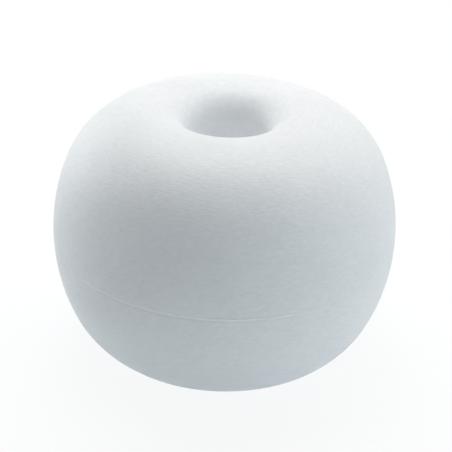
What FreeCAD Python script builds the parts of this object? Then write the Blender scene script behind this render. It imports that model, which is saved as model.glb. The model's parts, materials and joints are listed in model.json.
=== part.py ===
import FreeCAD, Part
import math
import os

# A mooring buoy, moulded in one piece: a squat round float with a hole through its middle.
# Its side, its shoulders, its two trumpet mouths and their lips are arcs that run into each other with no corner.
# Millimetres, +Z up. The origin is on the hole's axis, in the plane that the buoy stands on.

# Driving dimensions
equator_diameter = 400.0    # widest place, at half height, beside the parting line
height = 300.0              # from the lower crown to the upper crown
crown_diameter = 176.0      # ring at either end where the shoulder turns over into the mouth
side_radius = 225.0         # upright arc of the side, centred at half height
bore_diameter = 94.0        # straight hole that the chain and its end fitting pass through
lip_radius = 32.0           # arc at the foot of a mouth, where it bends into the hole
mouth_slope = 20.0          # how steep a mouth is where that arc takes over, in degrees
parting_width = 2.2         # raised line round the side, where the two halves of the mould met
parting_height = 0.5        # how far that line stands out of the side

# Sizes that follow from them
equator_radius = equator_diameter / 2
half_height = height / 2
crown_radius = crown_diameter / 2
bore_radius = bore_diameter / 2
mouth_angle = math.radians(mouth_slope)
lip_reach = lip_radius * (1 - math.sin(mouth_angle))
mouth_radius = (crown_radius - bore_radius - lip_reach) / math.sin(mouth_angle)
mouth_foot = mouth_radius * (1 - math.cos(mouth_angle))
bore_end = mouth_foot + lip_radius * math.cos(mouth_angle)


def shoulder_radius():
    """Radius of the one arc that meets the side arc with no corner and lies level at the crown."""
    across = crown_radius - (equator_radius - side_radius)
    gap = across**2 + half_height**2 - side_radius**2
    return gap / (2 * (half_height - side_radius))


def arc(centre, radius, start, stop, end):
    """Arc edge in the plane of the section, from one angle above the level to another.

    The centre is given from half height. end is 1 above half height, and -1 for the mirror image below it.
    """
    points = []
    for angle in (start, (start + stop) / 2, stop):
        out = centre[0] + radius * math.cos(angle)
        up = half_height + end * (centre[1] + radius * math.sin(angle))
        points.append(FreeCAD.Vector(out, 0, up))
    return Part.Arc(*points).toShape()


def parting_line(side_centre, parting_angle):
    """The small raised arc that crosses half height and joins the upper and lower side arcs."""
    out = side_centre[0] + side_radius * math.cos(parting_angle)
    up = side_radius * math.sin(parting_angle)
    foot = FreeCAD.Vector(out, 0, half_height - up)
    top = FreeCAD.Vector(out, 0, half_height + up)
    ridge = FreeCAD.Vector(equator_radius + parting_height, 0, half_height)
    return Part.Arc(foot, ridge, top).toShape()


def section():
    """Half of the upright section, to one side of the hole's axis, as a face."""
    shoulder = shoulder_radius()
    side_centre = (equator_radius - side_radius, 0.0)
    shoulder_centre = (crown_radius, half_height - shoulder)
    mouth_centre = (crown_radius, half_height - mouth_radius)
    lip_centre = (bore_radius + lip_radius, half_height - bore_end)
    parting_angle = math.asin(parting_width / 2 / side_radius)
    side_end = math.atan2(shoulder_centre[1], shoulder_centre[0] - side_centre[0])
    lip_start = math.pi / 2 + mouth_angle
    bore_low = FreeCAD.Vector(bore_radius, 0, bore_end)
    bore_high = FreeCAD.Vector(bore_radius, 0, height - bore_end)
    edges = [Part.LineSegment(bore_low, bore_high).toShape()]
    edges.append(parting_line(side_centre, parting_angle))
    for end in (1, -1):
        edges.append(arc(side_centre, side_radius, parting_angle, side_end, end))
        edges.append(arc(shoulder_centre, shoulder, side_end, math.pi / 2, end))
        edges.append(arc(mouth_centre, mouth_radius, math.pi / 2, lip_start, end))
        edges.append(arc(lip_centre, lip_radius, lip_start, math.pi, end))
    return Part.Face(Part.Wire(Part.__sortEdges__(edges)))


def buoy_body():
    """The whole buoy: the section turned once round the hole's axis."""
    axis_foot = FreeCAD.Vector(0, 0, 0)
    axis = FreeCAD.Vector(0, 0, 1)
    return section().revolve(axis_foot, axis, 360)


os.makedirs("parts", exist_ok=True)
buoy_body().exportStep("parts/buoy_body.step")
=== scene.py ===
import json
import math

import bpy
import numpy as np
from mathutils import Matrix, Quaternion, Vector, noise


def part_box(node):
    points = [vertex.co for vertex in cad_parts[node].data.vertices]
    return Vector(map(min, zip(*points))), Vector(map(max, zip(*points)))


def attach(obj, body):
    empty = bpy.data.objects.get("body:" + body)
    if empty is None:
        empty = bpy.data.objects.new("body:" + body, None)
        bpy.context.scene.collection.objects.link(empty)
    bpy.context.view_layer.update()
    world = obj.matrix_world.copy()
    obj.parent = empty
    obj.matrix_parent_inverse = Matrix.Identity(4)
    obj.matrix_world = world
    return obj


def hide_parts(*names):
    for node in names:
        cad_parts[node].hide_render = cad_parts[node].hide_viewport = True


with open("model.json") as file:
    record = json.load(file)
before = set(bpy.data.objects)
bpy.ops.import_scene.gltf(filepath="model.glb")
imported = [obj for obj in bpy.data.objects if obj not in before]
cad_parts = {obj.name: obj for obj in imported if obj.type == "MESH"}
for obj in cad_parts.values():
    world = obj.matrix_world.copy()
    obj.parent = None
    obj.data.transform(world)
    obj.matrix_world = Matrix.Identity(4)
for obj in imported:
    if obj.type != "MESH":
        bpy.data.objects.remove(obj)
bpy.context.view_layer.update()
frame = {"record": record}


# The moulded float
# One skin of white polyethylene, moulded hot in a two-part mould. Side, mouths and hole are all one piece,
# which lets some light through. A fine raised line runs round it where the mould's halves met, and its level
# grain is that of the metal that it froze against.

low_corner, high_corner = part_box("buoy_body")
hole = next(mount["dims"] for mount in frame["record"]["mounts"] if mount["name"] == "centre_bore")

parting_height = 0.0005             # how far the parting line stands out of the side in the plain form
half_height = (high_corner.z - low_corner.z) / 2
equator_radius = high_corner.x - parting_height
side_radius = 0.225                 # upright arc of the side, centred at half height
hole_radius = hole["r_mm"] / 1000
hole_half_length = hole["length_mm"] / 2000
lip_radius = 0.032                  # arc at the foot of a mouth, where it bends into the hole
mouth_angle = math.radians(20.0)    # how steep a mouth is where that arc takes over

lip_drop = lip_radius * math.cos(mouth_angle)
mouth_radius = (half_height - hole_half_length - lip_drop) / (1 - math.cos(mouth_angle))
crown_radius = hole_radius + lip_radius * (1 - math.sin(mouth_angle)) + mouth_radius * math.sin(mouth_angle)

side_columns = 480                  # columns of the mesh round the side
skin_step = 0.0027                  # between rows of the side, the shoulders and the mouths
hole_step = 0.010                   # between rows of the straight hole
parting_step = 0.00040              # between rows near the parting line
parting_zone = 0.0044               # how far above and below the line those rows reach
mouth_foot_radius = 1.1 * hole_radius    # where the mouths' columns give way to the hole's


def arc_rows(out, up, radius, start, stop, step):
    """Rows along an arc of the section, but for its last: how far out and up, and the way the skin faces."""
    count = max(2, round(abs(stop - start) * radius / step))
    rows = []
    for angle in np.linspace(start, stop, count, endpoint=False):
        facing_out = math.cos(angle)
        facing_up = math.sin(angle)
        rows.append((out + radius * facing_out, up + radius * facing_up, facing_out, facing_up))
    return rows


def upper_rows():
    """Rows of the section from the middle of the hole, over the crown and down to just above half height."""
    side_out = equator_radius - side_radius
    across = crown_radius - side_out
    gap = across**2 + half_height**2 - side_radius**2
    shoulder_radius = gap / (2 * (half_height - side_radius))
    shoulder_up = half_height - shoulder_radius
    side_angle = math.atan2(shoulder_up, across)
    fine_angle = parting_zone / side_radius
    mouth_up = half_height - mouth_radius
    crown_angle = math.pi / 2
    lip_angle = crown_angle + mouth_angle
    hole_heights = np.arange(0.0, hole_half_length - hole_step / 2, hole_step)
    rows = [(hole_radius, up, -1.0, 0.0) for up in hole_heights]
    rows += arc_rows(hole_radius + lip_radius, hole_half_length, lip_radius, math.pi, lip_angle, skin_step)
    rows += arc_rows(crown_radius, mouth_up, mouth_radius, lip_angle, crown_angle, skin_step)
    rows += arc_rows(crown_radius, shoulder_up, shoulder_radius, crown_angle, side_angle, skin_step)
    rows += arc_rows(side_out, 0.0, side_radius, side_angle, fine_angle, skin_step)
    rows += arc_rows(side_out, 0.0, side_radius, fine_angle, 0.0, parting_step)
    return rows


def section_rows():
    """All the rows round the section, as a closed loop that starts half-way up the hole."""
    upper = upper_rows()
    middle = (equator_radius, 0.0, 1.0, 0.0)
    lower = []
    for out, up, facing_out, facing_up in reversed(upper[1:]):
        lower.append((out, -up, facing_out, -facing_up))
    return upper + [middle] + lower


def columns_at(out):
    """How many columns a row has: all of them outside the crown, half in a mouth, a quarter in the hole."""
    if out > crown_radius - skin_step / 2:
        return side_columns
    if out > mouth_foot_radius:
        return side_columns // 2
    return side_columns // 4


# The skin isn't quite true to its form: it has slow swells, and a ripple that runs level.
swell_depth = 0.00035
swell_spacing = 0.14
ripple_depth = 0.00004
ripple_spacing = 0.016
ripple_flattening = 2.2
wave_sizes = 2                      # waves of so many sizes are added up
wave_ratio = 2.0                    # each size is so many times finer than the last
wave_falling = 1.0                  # and that much lower, as a power of the ratio


def waves(place, spacing):
    """Smooth noise at a place, in waves about a spacing apart with finer ones on them."""
    return noise.fractal(place / spacing, wave_falling, wave_ratio, wave_sizes)


def skin_relief(place):
    """How far the skin stands out of its true form at a place. The swells take it inwards."""
    flattened = Vector((place.x, place.y, place.z * ripple_flattening))
    swell = 0.5 * waves(place, swell_spacing) - 0.5
    return swell_depth * swell + ripple_depth * waves(flattened, ripple_spacing)


# The parting line is a ridge with a groove below it. The mould's halves met a little off centre, so the
# ridge grows from the left of the buoy to its right. On the front right the whole line fades out. Angles go
# round the hole's axis, anticlockwise from above, and are 0 on the right.
ridge_height = 0.00046
ridge_centre = 0.0015               # above half height
ridge_half_width = 0.0021
ridge_share_left = 0.18             # what is left of the ridge's height on the left
ridge_grows_from = -0.35            # the cosine of the angle where it starts to grow
ridge_grows_over = 0.5              # how much that cosine rises until the ridge is whole
groove_depth = 0.00029
groove_centre = -0.0010             # below half height
faint_angle = math.radians(335.0)   # where the line is faintest
faint_strength = 0.1                # what is left of it there
faint_from = 0.70                   # the cosine of the angle from there where the line starts to fade
faint_over = 0.20                   # how much that cosine rises until it is faintest
uneven_share = 0.5                  # by how much the line's height wanders
uneven_waves = 5.0                  # how often it wanders along the line
uneven_seed = 0.3                   # where in the noise it does so


def rounded(distance):
    """A smooth hump across the parting line: 1 in its middle, 0 from the ridge's half width outwards."""
    share = min(1.0, abs(distance) / ridge_half_width)
    return 0.5 + 0.5 * math.cos(math.pi * share)


def eased(value, start, span):
    """0 up to a start, 1 from a span beyond it, and a smooth rise between them."""
    share = min(1.0, max(0.0, (value - start) / span))
    return share**2 * (3 - 2 * share)


def parting_relief(up, angle):
    """How far the parting line stands out of the skin, at a height above half height."""
    strength = 1 - (1 - faint_strength) * eased(math.cos(angle - faint_angle), faint_from, faint_over)
    along_line = Vector((math.cos(angle), math.sin(angle), uneven_seed)) * uneven_waves
    unevenness = 1 + uneven_share * noise.noise(along_line)
    rightness = eased(math.cos(angle), ridge_grows_from, ridge_grows_over)
    ridge_share = ridge_share_left + (1 - ridge_share_left) * rightness
    ridge = ridge_height * ridge_share * rounded(up - ridge_centre)
    groove = groove_depth * rounded(up - groove_centre)
    return strength * unevenness * (ridge - groove)


def place_on_skin(row, angle):
    """Where a row of the section crosses an angle round the hole's axis, with the skin's relief."""
    out, up, facing_out, facing_up = row
    outward = Vector((math.cos(angle), math.sin(angle), 0.0))
    place = outward * out + Vector((0, 0, half_height + up))
    relief = skin_relief(place)
    if out > crown_radius and abs(up) < parting_zone:
        relief += parting_relief(up, angle)
    shift = outward * (facing_out * relief) + Vector((0, 0, facing_up * relief))
    return place + shift


def fan(fine_ring, coarse_ring, column):
    """Three triangles that join two columns of a fine ring to one column of a ring with half as many."""
    fine_first, fine_count = fine_ring
    coarse_first, coarse_count = coarse_ring
    fine = [fine_first + (2 * column + step) % fine_count for step in range(3)]
    coarse = [coarse_first + (column + step) % coarse_count for step in range(2)]
    near = (fine[0], fine[1], coarse[0])
    middle = (fine[1], coarse[1], coarse[0])
    far = (fine[1], fine[2], coarse[1])
    return [near, middle, far]


def faces_between(ring, next_ring):
    """Faces that join two rings of the skin. A ring is its first point's number and its count of columns."""
    first, count = ring
    next_first, next_count = next_ring
    if count > next_count:
        return [face for column in range(next_count) for face in fan(ring, next_ring, column)]
    if count < next_count:
        return [face[::-1] for column in range(count) for face in fan(next_ring, ring, column)]
    faces = []
    for column in range(count):
        following = (column + 1) % count
        faces.append((first + column, first + following, next_first + following, next_first + column))
    return faces


def float_mesh():
    """The whole skin as a closed mesh of rings, with its relief in the mesh itself."""
    places = []
    rings = []
    for row in section_rows():
        count = columns_at(row[0])
        rings.append((len(places), count))
        places += [place_on_skin(row, 2 * math.pi * column / count) for column in range(count)]
    faces = []
    for ring, next_ring in zip(rings, rings[1:] + rings[:1]):
        faces += faces_between(ring, next_ring)
    mesh = bpy.data.meshes.new("moulded_float")
    mesh.from_pydata(places, [], faces)
    mesh.polygons.foreach_set("use_smooth", [True] * len(faces))
    mesh.update()
    return mesh


# The grain is too fine for the mesh. Its lumps are wider than they are high, and it dies away in the mouths.
grain_spacing = 0.0068
grain_flattening = 2.3
grain_depth = 0.00038
grain_detail = 2.0
grain_roughness = 0.45
grain_waviness = 0.6
mouth_grain_share = 0.2             # what is left of its depth in the mouths
smooth_within = 0.060               # from the hole's axis
grained_beyond = 0.170              # from the hole's axis, where the grain is whole

# Cool white plastic, mottled by the grain and faint clouds, with a painted highlight on the parting line's
# ridge.
duller_white = (0.836, 0.853, 0.870, 1)
clearer_white = (0.942, 0.958, 0.969, 1)
duller_up_to = 0.35
clearer_from = 0.65
cloud_spacing = 0.045
cloud_detail = 3.0
cloud_roughness = 0.5
cloud_share = 0.3
# A painted highlight along the parting line's ridge, which is whole on the left of the buoy.
painted_highlight_white = (1, 1, 1, 1)
painted_highlight_width = 0.0021
painted_highlight_starts = 0.09               # to the right of the middle
painted_highlight_whole = -0.06               # to the left of it
glossiest_roughness = 0.44
dullest_roughness = 0.56
plastic_ior = 1.5
light_through = 0.40                # how much of its shading is light that comes through
light_through_colour = (0.94, 0.955, 0.965, 1)


def feed(tree, socket, value):
    """Gives a node's socket the output of another node, or a number or colour."""
    if isinstance(value, bpy.types.NodeSocket):
        tree.links.new(value, socket)
    else:
        socket.default_value = value


def worked_out(tree, operation, *values):
    """The result of one step of arithmetic on numbers and other nodes' outputs."""
    node = tree.nodes.new("ShaderNodeMath")
    node.operation = operation
    for socket, value in zip(node.inputs, values):
        feed(tree, socket, value)
    return node.outputs["Value"]


def graded(tree, value, start, stop, low, high, rise="SMOOTHSTEP"):
    """A low number where a value is at its start, a high one where it is at its stop, and a rise between."""
    node = tree.nodes.new("ShaderNodeMapRange")
    node.interpolation_type = rise
    feed(tree, node.inputs["Value"], value)
    feed(tree, node.inputs["From Min"], start)
    feed(tree, node.inputs["From Max"], stop)
    feed(tree, node.inputs["To Min"], low)
    feed(tree, node.inputs["To Max"], high)
    return node.outputs["Result"]


def lumps(tree, place, spacing, detail, roughness, waviness=0.0):
    """Noise in lumps about a spacing apart, between 0 and 1."""
    node = tree.nodes.new("ShaderNodeTexNoise")
    feed(tree, node.inputs["Vector"], place)
    feed(tree, node.inputs["Scale"], 1 / spacing)
    feed(tree, node.inputs["Detail"], detail)
    feed(tree, node.inputs["Roughness"], roughness)
    feed(tree, node.inputs["Distortion"], waviness)
    return node.outputs["Fac"]


def distance_from_axis(tree, place):
    """How far a place is from the hole's axis, at any height."""
    level_place = tree.nodes.new("ShaderNodeVectorMath")
    level_place.operation = "MULTIPLY"
    feed(tree, level_place.inputs[0], place)
    feed(tree, level_place.inputs[1], (1.0, 1.0, 0.0))
    distance = tree.nodes.new("ShaderNodeVectorMath")
    distance.operation = "LENGTH"
    feed(tree, distance.inputs[0], level_place.outputs["Vector"])
    return distance.outputs["Value"]


def mixed_surface(tree, share, first, second):
    """Makes the material's surface of two shaders, with a share of the second."""
    mix = tree.nodes.new("ShaderNodeMixShader")
    feed(tree, mix.inputs["Fac"], share)
    feed(tree, mix.inputs[1], first)
    feed(tree, mix.inputs[2], second)
    feed(tree, tree.nodes["Material Output"].inputs["Surface"], mix.outputs["Shader"])


def level_grain(tree, across, along, above_middle, from_axis):
    """The pattern of the grain, which runs level on the side and on over the shoulders.

    Its lumps are flattened along the section. So the noise isn't read at a plain height, but at one that goes
    on rising over the upper shoulder, or sinking under the lower one, with the distance in from the side.
    """
    inwards = worked_out(tree, "SUBTRACT", equator_radius, from_axis)
    upper_or_lower = graded(tree, above_middle, -half_height / 2, half_height / 2, -1.0, 1.0)
    along_section = worked_out(tree, "MULTIPLY_ADD", upper_or_lower, inwards, above_middle)
    grain_place = tree.nodes.new("ShaderNodeCombineXYZ")
    feed(tree, grain_place.inputs["X"], across)
    feed(tree, grain_place.inputs["Y"], along)
    feed(tree, grain_place.inputs["Z"], worked_out(tree, "MULTIPLY", along_section, grain_flattening))
    place = grain_place.outputs["Vector"]
    return lumps(tree, place, grain_spacing, grain_detail, grain_roughness, grain_waviness)


def grain_relief(tree, grain, from_axis):
    """Which way the grained skin faces: the grain is whole on the side and dies away in the mouths."""
    share = graded(tree, from_axis, smooth_within, grained_beyond, mouth_grain_share, 1.0)
    relief = tree.nodes.new("ShaderNodeBump")
    feed(tree, relief.inputs["Strength"], 1.0)
    feed(tree, relief.inputs["Distance"], grain_depth)
    feed(tree, relief.inputs["Height"], worked_out(tree, "MULTIPLY", grain, share))
    return relief.outputs["Normal"]


def mottled_white(tree, place, grain):
    """Cool white that is a little duller in the hollows of the grain and in faint clouds."""
    clouds = lumps(tree, place, cloud_spacing, cloud_detail, cloud_roughness)
    mottle = tree.nodes.new("ShaderNodeMix")
    feed(tree, mottle.inputs["Factor"], cloud_share)
    feed(tree, mottle.inputs["A"], grain)
    feed(tree, mottle.inputs["B"], clouds)
    whites = tree.nodes.new("ShaderNodeValToRGB")
    duller, clearer = whites.color_ramp.elements
    duller.position = duller_up_to
    duller.color = duller_white
    clearer.position = clearer_from
    clearer.color = clearer_white
    feed(tree, whites.inputs["Fac"], mottle.outputs["Result"])
    return whites.outputs["Color"]


def painted_highlight_along_line(tree, white, across, above_middle):
    """A painted highlight: white turns paler along the parting line, from the buoy's middle to its left."""
    from_line = worked_out(tree, "ABSOLUTE", above_middle)
    on_line = graded(tree, from_line, 0.0, painted_highlight_width, 1.0, 0.0)
    leftwards = graded(tree, across, painted_highlight_starts, painted_highlight_whole, 0.0, 1.0)
    colour = tree.nodes.new("ShaderNodeMixRGB")
    feed(tree, colour.inputs["Fac"], worked_out(tree, "MULTIPLY", on_line, leftwards))
    feed(tree, colour.inputs["Color1"], white)
    feed(tree, colour.inputs["Color2"], painted_highlight_white)
    return colour.outputs["Color"]


def white_polyethylene():
    """Cool white plastic with a grained satin skin that lets some light through."""
    material = bpy.data.materials.new("white_polyethylene")
    material.use_nodes = True
    tree = material.node_tree
    place = tree.nodes.new("ShaderNodeTexCoord").outputs["Object"]
    split = tree.nodes.new("ShaderNodeSeparateXYZ")
    feed(tree, split.inputs["Vector"], place)
    across, along, up = split.outputs
    above_middle = worked_out(tree, "SUBTRACT", up, half_height)
    from_axis = distance_from_axis(tree, place)

    grain = level_grain(tree, across, along, above_middle, from_axis)
    facing = grain_relief(tree, grain, from_axis)
    white = mottled_white(tree, place, grain)

    skin = tree.nodes["Principled BSDF"]
    # The base colour carries the painted highlight on the parting line.
    feed(tree, skin.inputs["Base Color"], painted_highlight_along_line(tree, white, across, above_middle))
    gloss = graded(tree, grain, 0.0, 1.0, glossiest_roughness, dullest_roughness, "LINEAR")
    feed(tree, skin.inputs["Roughness"], gloss)
    feed(tree, skin.inputs["IOR"], plastic_ior)
    feed(tree, skin.inputs["Normal"], facing)
    glow = tree.nodes.new("ShaderNodeBsdfTranslucent")
    feed(tree, glow.inputs["Color"], light_through_colour)
    feed(tree, glow.inputs["Normal"], facing)
    mixed_surface(tree, light_through, skin.outputs["BSDF"], glow.outputs["BSDF"])
    return material


def added_object(name, data):
    """A new object at the origin, in the scene."""
    item = bpy.data.objects.new(name, data)
    bpy.context.scene.collection.objects.link(item)
    return item


moulded_float = added_object("moulded_float", float_mesh())
moulded_float.data.materials.append(white_polyethylene())
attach(moulded_float, "root")
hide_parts("buoy_body")


# The floor
# A wide pale studio floor, which isn't part of the object. It keeps the buoy's shadow near it, and runs into
# plain white further out. Its faint cool glow is the light that a white studio sends back up.

floor_reach = 8.0
floor_colour = (0.86, 0.90, 0.93, 1)
floor_glow = 0.097
floor_glow_colour = (0.60, 0.85, 0.98, 1)
plain_white = (1, 1, 1, 1)
plain_share_near = 0.88             # how much of the floor's look is plain white near the buoy
plain_starts = 0.32                 # from the hole's axis, where that share starts to grow
plain_ends = 0.80                   # from the hole's axis, where the floor is all plain white


def looking_rays(tree):
    """1 for a ray that looks: from the camera, off a shiny surface or through glass. 0 for scattered light.

    Light that the white plastic lets through is scattered, so plain white adds no light to the buoy.
    """
    ray = tree.nodes.new("ShaderNodeLightPath")
    looking = ray.outputs["Is Camera Ray"]
    for kind in ("Is Glossy Ray", "Is Transmission Ray"):
        looking = worked_out(tree, "MAXIMUM", looking, ray.outputs[kind])
    unscattered = worked_out(tree, "SUBTRACT", looking, ray.outputs["Is Diffuse Ray"])
    return worked_out(tree, "MAXIMUM", unscattered, 0.0)


def pale_floor():
    """Matte white. What looks at it sees it mixed with plain white, and more so further from the buoy."""
    material = bpy.data.materials.new("pale_floor")
    material.use_nodes = True
    tree = material.node_tree
    matte = tree.nodes["Principled BSDF"]
    feed(tree, matte.inputs["Base Color"], floor_colour)
    feed(tree, matte.inputs["Roughness"], 1.0)
    feed(tree, matte.inputs["Specular IOR Level"], 0.0)
    feed(tree, matte.inputs["Emission Color"], floor_glow_colour)
    feed(tree, matte.inputs["Emission Strength"], floor_glow)
    plain = tree.nodes.new("ShaderNodeEmission")
    feed(tree, plain.inputs["Color"], plain_white)
    feed(tree, plain.inputs["Strength"], 1.0)
    place = tree.nodes.new("ShaderNodeTexCoord").outputs["Object"]
    distance = distance_from_axis(tree, place)
    plain_share = graded(tree, distance, plain_starts, plain_ends, plain_share_near, 1.0)
    seen_share = worked_out(tree, "MULTIPLY", looking_rays(tree), plain_share)
    mixed_surface(tree, seen_share, matte.outputs["BSDF"], plain.outputs["Emission"])
    return material


floor_mesh = bpy.data.meshes.new("floor")
corner_ways = ((-1, -1), (1, -1), (1, 1), (-1, 1))
floor_corners = [(x * floor_reach, y * floor_reach, 0.0) for x, y in corner_ways]
floor_mesh.from_pydata(floor_corners, [], [(0, 1, 2, 3)])
floor = added_object("floor", floor_mesh)
floor.data.materials.append(pale_floor())


# The light
# A soft studio: six large square soft boxes, with most of their light coming from above and behind on the
# left. What looks past them, or off the satin skin, sees plain white.

studio = bpy.data.worlds.new("studio")
studio.use_nodes = True
bpy.context.scene.world = studio
backdrop = studio.node_tree.nodes["Background"]
feed(studio.node_tree, backdrop.inputs["Color"], plain_white)
feed(studio.node_tree, backdrop.inputs["Strength"], looking_rays(studio.node_tree))

lamp_distance = 1.7
lamp_size = 1.2


def way_to(bearing, elevation):
    """A direction from the buoy, in degrees. The bearing is 0 in front of it and 90 on its right."""
    turn = math.radians(bearing)
    lift = math.radians(elevation)
    return Vector((math.sin(turn) * math.cos(lift), -math.cos(turn) * math.cos(lift), math.sin(lift)))


def stand_off(item, way, distance):
    """Stands a lamp or camera off from the middle of the buoy, and turns it to face that."""
    item.location = Vector((0, 0, half_height)) + way * distance
    item.rotation_mode = "QUATERNION"
    item.rotation_quaternion = (-way).to_track_quat("-Z", "Y")


def soft_box(name, bearing, elevation, power, colour):
    """A square soft box that faces the middle of the buoy. The camera doesn't see the box itself."""
    lamp_data = bpy.data.lights.new(name, "AREA")
    lamp_data.shape = "SQUARE"
    lamp_data.size = lamp_size
    lamp_data.energy = power
    lamp_data.color = colour
    lamp = added_object(name, lamp_data)
    lamp.visible_camera = False
    stand_off(lamp, way_to(bearing, elevation), lamp_distance)


soft_box("right_front_lamp", 60, 12, 8.8, (0.85, 0.97, 1.0))
soft_box("right_lamp", 90, 12, 2.3, (1.0, 0.93, 0.91))
soft_box("left_lamp", 240, 12, 14.9, (0.98, 1.0, 0.99))
soft_box("right_back_lamp", 120, 42, 8.5, (1.0, 0.91, 0.87))
soft_box("top_right_lamp", 150, 70, 8.0, (1.0, 0.98, 0.96))
soft_box("top_left_lamp", 210, 70, 19.3, (1.0, 0.99, 0.975))


# The camera
# It stands where the photograph was taken from, in front of the buoy and about 29 degrees above its middle,
# and is rolled a little, as the photograph is.

camera_elevation = 29.24
camera_distance = 1.382
camera_roll = math.radians(1.86)
lens_length = 93.27                 # in millimetres
sensor_width = 36.0                 # in millimetres
photo_width = 452                   # in pixels
shift_across = 1.48                 # in pixels
shift_up = 0.07                     # in pixels

camera_data = bpy.data.cameras.new("camera")
camera_data.lens = lens_length
camera_data.sensor_width = sensor_width
camera_data.shift_x = shift_across / photo_width
camera_data.shift_y = shift_up / photo_width
camera = added_object("camera", camera_data)
bpy.context.scene.camera = camera
camera_way = way_to(0, camera_elevation)
stand_off(camera, camera_way, camera_distance)
camera.rotation_quaternion = Quaternion(camera_way, camera_roll) @ camera.rotation_quaternion

bpy.context.scene.view_settings.view_transform = "Standard"
